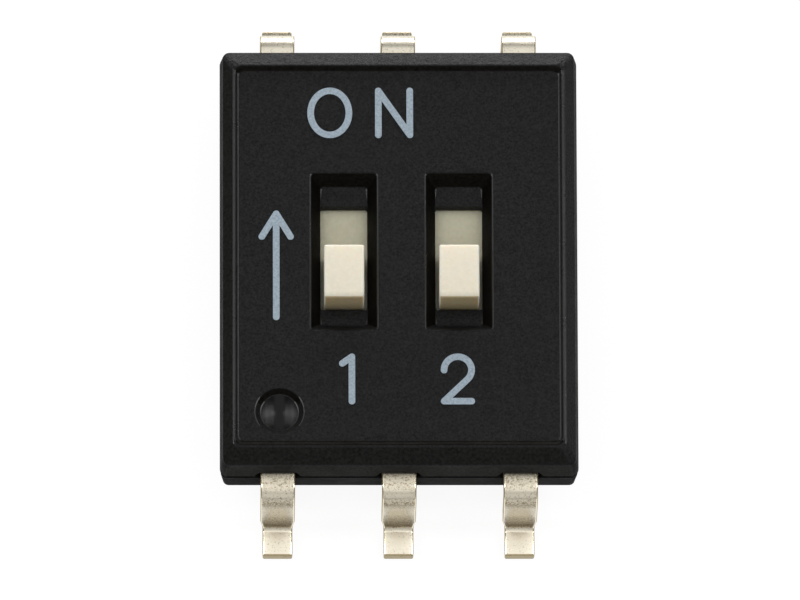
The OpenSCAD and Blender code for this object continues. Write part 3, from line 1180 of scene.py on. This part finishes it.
@dataclass
class Lead:
    """Gull-wing lead, stamped from strip, bent, and moulded into the base."""

    index: int
    x: float
    rear: bool
    pad: Pad
    thick: float = 0.28
    width: float = 0.72
    foot_w: float = 0.62
    tip_y: float = -5.77
    leg_y: float = -5.1575
    bend_r: float = 0.11
    drop_y: float = -3.10
    jog_y: float = -2.45
    taper_low: float = 0.25
    taper_high: float = 0.66
    leg_band: float = 0.05
    bend_steps: int = 12
    edge_r: float = 0.035

    def bend(self, degrees: float, y: float, z: float) -> None:
        """Bends the open end of the strip about a line across it."""
        turn(degrees, (self.x, y, z), (1, 0, 0), self.bend_steps)

    def strip(self) -> Piece:
        """Bends the strip: foot, leg, shoulder, inner drop and the start of its pad.

        Returns:
            The strip, as wide as its shoulder all along.
        """
        outer = self.bend_r + self.thick
        heel = self.leg_y - self.bend_r
        knee_z = Z.strip_top - outer
        low_z = Z.floor + self.bend_r
        low, high = (self.x - self.width / 2, self.tip_y, 0), (self.x + self.width / 2, heel, self.thick)
        strip = box(f"lead_{self.index}", low, high)
        with editing(strip):
            choose(strip, Select.FACE, facing(0, 1, 0))
            self.bend(90, heel, outer)
            extrude(0, 0, self.taper_high - outer)
            extrude(0, 0, knee_z - self.taper_high)
            self.bend(-90, self.leg_y + outer, knee_z)
            extrude(0, self.drop_y - outer - self.leg_y - outer, 0)
            self.bend(-90, self.drop_y - outer, knee_z)
            extrude(0, 0, low_z - knee_z)
            self.bend(90, self.drop_y + self.bend_r, low_z)
            extrude(0, OVER, 0)
        return strip

    def taper(self, strip: Piece) -> None:
        """Narrows the strip from the leg to the foot, one ring of points after another.

        Args:
            strip: The bent strip.
        """
        near = self.leg_y + self.thick + self.leg_band
        ratio = self.foot_w / self.width
        points = [v.co for v in strip.data.vertices]
        rings = {round(p.z, 4) for p in points if p.y < near and p.z < self.taper_high - NEAR}
        with editing(strip):
            for ring in rings:
                choose(strip, Select.VERT, lambda v: v.co.y < near and round(v.co.z, 4) == ring)
                share = max(ring - self.taper_low, 0) / (self.taper_high - self.taper_low)
                resize(ratio + (1 - ratio) * share, 1, 1, (self.x, 0, 0))

    def mirror(self, strip: Piece) -> None:
        """Turns a lead of the front row into one of the rear row.

        Args:
            strip: The lead.
        """
        pick(strip)
        strip.scale.y = -1
        fix(strip)
        clean(strip)

    def make(self) -> None:
        """Builds the lead."""
        strip = self.strip()
        # The rear row takes the lighter plating, a painted light.
        dress(strip, LEAD_LIT_REAR if self.rear else LEAD_PLATING)
        self.taper(strip)
        start = self.drop_y + self.bend_r
        low_z = Z.floor - self.thick
        near, far = self.pad.x - self.pad.width / 2, self.pad.x + self.pad.width / 2
        left, right = min(self.x - self.width / 2, near), max(self.x + self.width / 2, far)
        jog = box("jog_tool", (left, start, low_z), (right, self.jog_y, Z.floor))
        combine(strip, jog, Merge.ADD)
        combine(strip, box("pad_tool", (near, start, low_z), (far, self.pad.end, Z.floor)), Merge.ADD)
        clean(strip)
        # The rounded edges take a painted highlight.
        soften(strip, self.edge_r, limit=50, segments=3, finish=LEAD_EDGE_HIGHLIGHT)
        paint(strip, LEAD_CUT_AND_SHADE, lambda f: f.normal.y < -0.2 and middle(f).y < self.tip_y + self.edge_r)
        # The sides of the strip take the dark sheared finish, partly raw metal and partly painted shade.
        paint(strip, LEAD_CUT_AND_SHADE, lambda f: abs(f.normal.x) > 0.7)
        if self.rear:
            self.mirror(strip)
        settle(strip, "housing", f"terminal_{self.index}", smooth=35)


@dataclass
class LeadFrame:
    """The six leads: each switch has a common lead and two throws."""

    layout: Layout
    contact_x: float = 0.52
    throw_w: float = 0.56
    common_w: float = 0.50
    split: float = 0.13
    common_end: float = 1.10

    def make(self) -> None:
        """Builds the leads, numbered round the package from the pin-1 corner."""
        first, second = (slot.x for slot in self.layout.slots)
        throw_front = self.layout.slot_y - self.split
        throw_rear = -self.layout.slot_y - self.split
        pads = [
            Pad(first - self.contact_x, self.throw_w, throw_front),
            Pad(first + self.contact_x, self.common_w, self.common_end),
            Pad(second + self.contact_x, self.throw_w, throw_front),
            Pad(second + self.contact_x, self.throw_w, throw_rear),
            Pad(second - self.contact_x, self.common_w, self.common_end),
            Pad(first - self.contact_x, self.throw_w, throw_rear),
        ]
        for index, (x, pad) in enumerate(zip(self.layout.leads, pads), start=1):
            Lead(index, x, index > len(pads) // 2, pad).make()


# ---------- switches ----------


@dataclass
class Slider:
    """Slider of one switch: knob, shutter plate and the carrier that pushes the contact."""

    index: int
    at: Vector
    knob_w: float = 0.84
    knob_l: float = 1.145
    front_r: float = 0.14
    knob_r: float = 0.045
    shutter_top: float = 2.145
    shutter_t: float = 0.24
    shutter_w: float = 1.64
    shutter_l: float = 3.605
    carrier_w: float = 1.50
    carrier_l: float = 1.90
    carrier_low: float = 1.07
    slot_l: float = 0.56
    slot_top: float = 1.40
    socket_r: float = 0.32
    socket_top: float = 1.87
    edge_r: float = 0.012

    def on_front_edge(self, edge: bmesh.types.BMEdge) -> bool:
        """True for the front top edge of the knob."""
        at, front = middle(edge), self.at.y - self.knob_l / 2
        return abs(at.y - front) < TINY and abs(at.z - Z.knob) < TINY

    def knob(self) -> Piece:
        """Models the knob, with a rounder front top edge.

        Returns:
            The knob, down into the plate.
        """
        name, low = f"slider_body_{self.index}", self.shutter_top - OVER
        knob = block(name, self.at, self.knob_w, self.knob_l, low, Z.knob)
        dress(knob, CREAM)
        with editing(knob):
            choose(knob, Select.EDGE, self.on_front_edge)
            bpy.ops.mesh.bevel(offset=self.front_r, segments=8, affect="EDGES")
        soften(knob, self.knob_r, limit=50, segments=4)
        return knob

    def carriage(self) -> Piece:
        """Models the plate and the carrier, with the slot of the contact and the socket of its spring.

        Returns:
            The solid.
        """
        top, low = self.shutter_top, self.carrier_low
        under = low - 2 * OVER
        carriage = block(
            "shutter_tool", self.at, self.shutter_w, self.shutter_l, top - self.shutter_t, top
        )
        carrier = block(
            "carrier_tool", self.at, self.carrier_w, self.carrier_l, low, top - self.shutter_t / 2
        )
        combine(carriage, carrier, Merge.ADD)
        pocket = block("pocket_tool", self.at, self.carrier_w + 1, self.slot_l, low - 1, self.slot_top)
        combine(carriage, pocket, Merge.CUT)
        clean(carriage)
        soften(carriage, self.edge_r)
        at = (self.at.x, self.at.y, under)
        height = self.socket_top - under
        socket = round_bar("socket_tool", at, self.socket_r, self.socket_r, height, 48)
        combine(carriage, socket, Merge.CUT)
        return carriage

    def make(self) -> None:
        """Builds the slider."""
        carriage = self.carriage()
        knob = self.knob()
        combine(knob, carriage, Merge.ADD)
        clean(knob)
        # Painted shade on the plate and the carrier under it.
        paint(knob, CREAM_SHADED_PLATE, lambda f: middle(f).z < self.shutter_top + NEAR)
        # Painted shade on the knob's front face.
        paint(knob, CREAM_SHADED_FRONT, lambda f: f.normal.y < -0.85 and middle(f).z > self.shutter_top)
        settle(knob, f"switch_{self.index}", f"slider_{self.index}")


@dataclass
class ContactBridge:
    """Bent strip that joins the common pad to a throw, with two curled feet."""

    index: int
    at: Vector
    top: float = 1.36
    thick: float = 0.12
    length: float = 0.50
    bend_r: float = 0.10
    curl_r: float = 0.04
    foot_x: float = 0.52
    foot_gap: float = 0.01
    edge_r: float = 0.012

    def mirror(self, strip: Piece) -> None:
        """Adds the mirror image of the half strip across the slider's middle.

        Args:
            strip: The half strip, open at the middle.
        """
        with editing(strip):
            bpy.ops.mesh.select_all(action="SELECT")
            bpy.ops.mesh.duplicate()
            resize(-1, 1, 1, (self.at.x, 0, 0))

    def make(self) -> None:
        """Builds the bridge: one half from the middle out, then its mirror image."""
        x, y = self.at.x, self.at.y
        half = self.length / 2
        bend_x = self.foot_x - self.curl_r - self.thick - self.bend_r
        bend_z = self.top - self.bend_r - self.thick
        foot_z = Z.floor + self.foot_gap + self.curl_r + self.thick
        low, high = (x, y - half, self.top - self.thick), (x + bend_x, y + half, self.top)
        strip = box(f"bridge_{self.index}", low, high)
        dress(strip, CONTACT_GOLD)
        with editing(strip):
            choose(strip, Select.FACE, facing(1, 0, 0))
            turn(90, (x + bend_x, y, bend_z), (0, 1, 0), 8)
            extrude(0, 0, foot_z - bend_z)
            turn(-180, (x + self.foot_x, y, foot_z), (0, 1, 0), 14)
            choose(strip, Select.FACE, lambda f: abs(middle(f).x - x) < TINY)
            bpy.ops.mesh.delete(type="FACE")
        self.mirror(strip)
        clean(strip)
        soften(strip, self.edge_r, limit=50)
        settle(strip, f"switch_{self.index}", f"contact_bridge_{self.index}")


@dataclass
class ContactSpring:
    """Coil that presses the bridge down, with a dead turn at each end."""

    index: int
    at: Vector
    low: float = 1.365
    height: float = 0.50
    coil_r: float = 0.23
    wire_r: float = 0.045
    dead_rise: float = 0.05
    live_turns: int = 2
    turn_steps: int = 40
    wire_sides: int = 14

    def coil(self, low: float, rise: float, turns: int) -> Piece:
        """Winds a stretch of the coil.

        Args:
            low: Height of the wire's middle at the start.
            rise: Climb of one turn.
            turns: Number of turns.

        Returns:
            The open tube.
        """
        bpy.ops.object.select_all(action="DESELECT")
        bpy.ops.mesh.primitive_circle_add(
            vertices=self.wire_sides, radius=self.wire_r, location=(self.coil_r, 0, low),
            rotation=(math.pi / 2, 0, 0),
        )
        coil = bpy.context.object
        fix(coil)
        finish_with(
            coil, "SCREW", axis="Z", angle=2 * math.pi, screw_offset=rise, iterations=turns,
            steps=self.turn_steps, render_steps=self.turn_steps, use_merge_vertices=False,
        )
        return coil

    def close(self, spring: Piece) -> None:
        """Joins the stretches of the coil and closes the ends of the wire.

        Args:
            spring: The open tubes, as one piece.
        """
        with editing(spring):
            bpy.ops.mesh.select_all(action="SELECT")
            bpy.ops.mesh.remove_doubles(threshold=TINY)
            bpy.ops.mesh.select_all(action="DESELECT")
            bpy.ops.mesh.select_mode(type="EDGE")
            bpy.ops.mesh.select_non_manifold()
            bpy.ops.mesh.edge_face_add()
        clean(spring)

    def make(self) -> None:
        """Builds the spring."""
        live_rise = (self.height - 2 * self.wire_r - 2 * self.dead_rise) / self.live_turns
        start = self.low + self.wire_r
        parts = [
            self.coil(start, self.dead_rise, 1),
            self.coil(start + self.dead_rise, live_rise, self.live_turns),
            self.coil(start + self.dead_rise + live_rise * self.live_turns, self.dead_rise, 1),
        ]
        pick(parts[0])
        for part in parts[1:]:
            part.select_set(True)
        bpy.ops.object.join()
        spring = bpy.context.object
        spring.name = f"coil_{self.index}"
        spring.location = (self.at.x, self.at.y, 0)
        fix(spring)
        self.close(spring)
        dress(spring, SPRING_STEEL)
        settle(spring, f"switch_{self.index}", f"contact_spring_{self.index}")


# ---------- print ----------


@dataclass
class Print:
    """Marks printed on the panel: ON, 1, 2 and an arrow that points to the ON end."""

    stroke: float = 0.14
    ink: float = 0.02
    flag: tuple[float, float] = (0.2, 0.145)
    arrow_head: float = 0.5
    round_sides: int = 30
    oval_sides: int = 96

    def line(self, start: Point, end: Point) -> Piece:
        """Makes one stroke with round ends, from a bar parted between two of its corners.

        Args:
            start: Middle of one end, in the plane of the panel.
            end: Middle of the other end.

        Returns:
            The stroke.
        """
        way = Vector(end) - Vector(start)
        radius = self.stroke / 2
        bar = round_bar("stroke_tool", (0, 0, Z.panel), radius, radius, self.ink, self.round_sides)
        with editing(bar):
            choose(bar, Select.VERT, lambda v: v.co.y > 0)
            bpy.ops.transform.translate(value=(0, way.length, 0))
        pick(bar)
        bar.location.xy = start
        bar.rotation_euler.z = math.atan2(-way.x, way.y)
        fix(bar)
        dress(bar, INK)
        return bar

    def lines(self, name: str, at: Point, *chains: Sequence[Point]) -> Piece:
        """Joins strokes along chains of points.

        Args:
            name: Name of the mark.
            at: Middle of the mark on the panel.
            *chains: Points of each chain, from the mark's middle.

        Returns:
            The mark.
        """
        placed = [[(x + at[0], y + at[1]) for x, y in chain] for chain in chains]
        strokes = [self.line(a, b) for chain in placed for a, b in zip(chain, chain[1:])]
        mark = strokes[0]
        mark.name = name
        for stroke in strokes[1:]:
            combine(mark, stroke, Merge.ADD, "MANIFOLD")
        return mark

    def ring(self, name: str, extent: Extent) -> Piece:
        """Makes the oval letter.

        Args:
            name: Name of the mark.
            extent: Box of the mark.

        Returns:
            The mark.
        """
        x, y = extent.middle.xy
        mark = round_bar(name, (x, y, Z.panel), 0.5, 0.5, self.ink, self.oval_sides)
        dress(mark, INK)
        at, height = (x, y, Z.panel - OVER), self.ink + 2 * OVER
        hole = round_bar("hole_tool", at, 0.5, 0.5, height, self.oval_sides)
        for part, rim in ((mark, 0), (hole, 2 * self.stroke)):
            with editing(part):
                bpy.ops.mesh.select_all(action="SELECT")
                resize(extent.size.x - rim, extent.size.y - rim, 1, (x, y, 0))
        combine(mark, hole, Merge.CUT)
        return mark

    def two(self, name: str, extent: Extent) -> Piece:
        """Makes the figure two: a bow, a tail that leaves it at a tangent, and a foot.

        Args:
            name: Name of the mark.
            extent: Box of the mark.

        Returns:
            The mark.
        """
        at = extent.middle.xy
        radius = (extent.size.x - self.stroke) / 2
        half = (extent.size.y - self.stroke) / 2
        bow = at + Vector((0, half - radius))
        corner = at - Vector((radius, half))
        reach = corner - bow
        tail = math.atan2(reach.y, reach.x) + math.acos(radius / reach.length)
        leave = bow + radius * Vector((math.cos(tail), math.sin(tail)))
        left, rim = bow.x - radius, self.stroke / 2
        low, high = (left - rim, bow.y - 0.01, Z.panel), (left + rim, bow.y, Z.panel + self.ink)
        band = box("band_tool", low, high)
        with editing(band):
            choose(band, Select.FACE, facing(0, 1, 0))
            turn(math.degrees(tail - math.pi), (bow.x, bow.y, 0), (0, 0, 1), 30)
        mark = self.lines(name, (0, 0), [leave, corner, (corner.x + 2 * radius, corner.y)])
        combine(mark, band, Merge.ADD)
        combine(mark, self.line((left, bow.y), (left, bow.y - 0.005)), Merge.ADD)
        return mark

    def make(self) -> None:
        """Builds the marks where the frame has them."""
        o, n, one, two, arrow = (
            Extent.of(f"legend_{mark}") for mark in ("o", "n", "one", "two", "arrow")
        )
        x, y = (n.size.x - self.stroke) / 2, (n.size.y - self.stroke) / 2
        stem = (one.high.x - self.stroke / 2, one.middle.y)
        head_x, head_y = (arrow.size.x - self.stroke) / 2, (arrow.size.y - self.stroke) / 2
        barb_y = head_y - self.arrow_head
        shaft, barbs = [(0, -head_y), (0, head_y)], [(-head_x, barb_y), (0, head_y), (head_x, barb_y)]
        marks = {
            "o": self.ring("print_o", o),
            "n": self.lines("print_n", n.middle.xy, [(-x, -y), (-x, y), (x, -y), (x, y)]),
            "one": self.lines("print_one", stem, [(0, -y), (0, y), (-self.flag[0], y - self.flag[1])]),
            "two": self.two("print_two", two),
            "arrow": self.lines("print_arrow", arrow.middle.xy, shaft, barbs),
        }
        for name, mark in marks.items():
            clean(mark)
            settle(mark, "housing", f"legend_{name}")


# ---------- studio ----------


@dataclass(frozen=True)
class Softbox:
    """Square soft light that looks at the object. Lengths are in millimetres."""

    name: str
    azimuth: float
    elevation: float
    distance: float
    width: float
    height: float
    radiance: float

    def place(self) -> None:
        """Adds the light."""
        data = bpy.data.lights.new(self.name, "AREA")
        data.shape = "RECTANGLE"
        data.size, data.size_y = self.width * MM, self.height * MM
        data.energy = self.radiance * math.pi * self.width * self.height * MM * MM
        obj = bpy.data.objects.new(self.name, data)
        bpy.context.scene.collection.objects.link(obj)
        a, e = math.radians(self.azimuth), math.radians(self.elevation)
        way = Vector((math.sin(a) * math.cos(e), math.cos(a) * math.cos(e), math.sin(e)))
        obj.location = way * self.distance * MM
        obj.rotation_mode = "QUATERNION"
        obj.rotation_quaternion = way.to_track_quat("Z", "Y")
        obj.visible_camera = False


@dataclass
class Studio:
    """Pale floor, soft lights and the camera."""

    tilt: float = 17.0
    lean: float = 0.6
    distance: float = 420.0
    frame_width: float = 16.874
    aim: tuple[float, float, float] = (0.054, 0.0, -0.25)
    floor_size: float = 4000.0
    floor_colour: float = 0.13
    floor_glow: float = 0.91
    sky: float = 0.27
    lights: tuple[Softbox, ...] = (
        Softbox("top_light", 180, 86, 170, 180, 230, 1.0),
        Softbox("front_light", 180, 27, 170, 150, 100, 0.6),
        Softbox("left_light", -90, 52, 150, 30, 70, 6.0),
        Softbox("right_light", 90, 52, 150, 30, 70, 6.5),
        Softbox("rear_light", 0, 9, 150, 200, 40, 8.0),
    )

    @staticmethod
    def seen(graph: Graph) -> Socket:
        """Adds the share of rays that see the background: camera, glossy and transmission.

        Args:
            graph: Graph of the floor's material.

        Returns:
            1 for such rays, else 0.
        """
        path = graph.add("LightPath", {}).outputs
        total = path["Is Camera Ray"]
        for name in ("Is Glossy Ray", "Is Transmission Ray"):
            total = graph.math("ADD", total, path[name], clamp=True)
        return total

    def floor(self) -> None:
        """Adds the floor, which shows white and keeps the object's shadow."""
        bpy.ops.object.select_all(action="DESELECT")
        bpy.ops.mesh.primitive_plane_add(size=self.floor_size * MM)
        floor = bpy.context.object
        floor.name = "floor"
        material = bpy.data.materials.new("floor_paper")
        material.use_nodes = True
        graph = Graph(material.node_tree)
        graph.feed(material.node_tree.nodes["Principled BSDF"], {
            "Base Color": (self.floor_colour,) * 3 + (1,),
            "Roughness": 1.0,
            "Specular IOR Level": 0.0,
            "Emission Color": (1, 1, 1, 1),
            "Emission Strength": graph.math("MULTIPLY", self.seen(graph), self.floor_glow),
        })
        floor.data.materials.append(material)

    def world(self) -> None:
        """Sets a soft, even sky."""
        world = bpy.data.worlds.new("studio_sky")
        bpy.context.scene.world = world
        world.use_nodes = True
        sky = world.node_tree.nodes["Background"]
        Graph(world.node_tree).feed(sky, {"Color": (1, 1, 1, 1), "Strength": self.sky})

    def camera(self) -> None:
        """Sets the camera, looking down with a long lens."""
        tilt, lean = math.radians(self.tilt), math.radians(self.lean)
        back = Vector((-math.sin(lean), -math.sin(tilt), math.cos(tilt))).normalized()
        right = (Vector((1, 0, 0)) - back * back.x).normalized()
        up = back.cross(right)
        data = bpy.data.cameras.new("camera")
        data.lens = data.sensor_width * self.distance / self.frame_width
        camera = bpy.data.objects.new("camera", data)
        bpy.context.scene.collection.objects.link(camera)
        turn_to = Matrix((right, up, back)).transposed().to_4x4()
        place = Vector(self.aim) * MM + back * self.distance * MM
        camera.matrix_world = Matrix.Translation(place) @ turn_to
        bpy.context.scene.camera = camera

    def make(self) -> None:
        """Builds the studio."""
        self.floor()
        self.world()
        for light in self.lights:
            light.place()
        self.camera()
        bpy.context.scene.view_settings.view_transform = "Standard"
        LOG.info("studio: %d lights", len(self.lights))


def main() -> None:
    """Builds the studio and every piece."""
    logging.basicConfig(level=logging.INFO, format="%(name)s %(message)s")
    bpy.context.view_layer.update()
    layout = Layout.from_frame()
    Studio().make()
    CoverShell(layout).make()
    BaseMoulding(layout).make()
    LeadFrame(layout).make()
    for index, slot in enumerate(layout.slots, start=1):
        Slider(index, slot).make()
        ContactBridge(index, slot).make()
        ContactSpring(index, slot).make()
    Print().make()


if __name__ == "__main__":
    main()
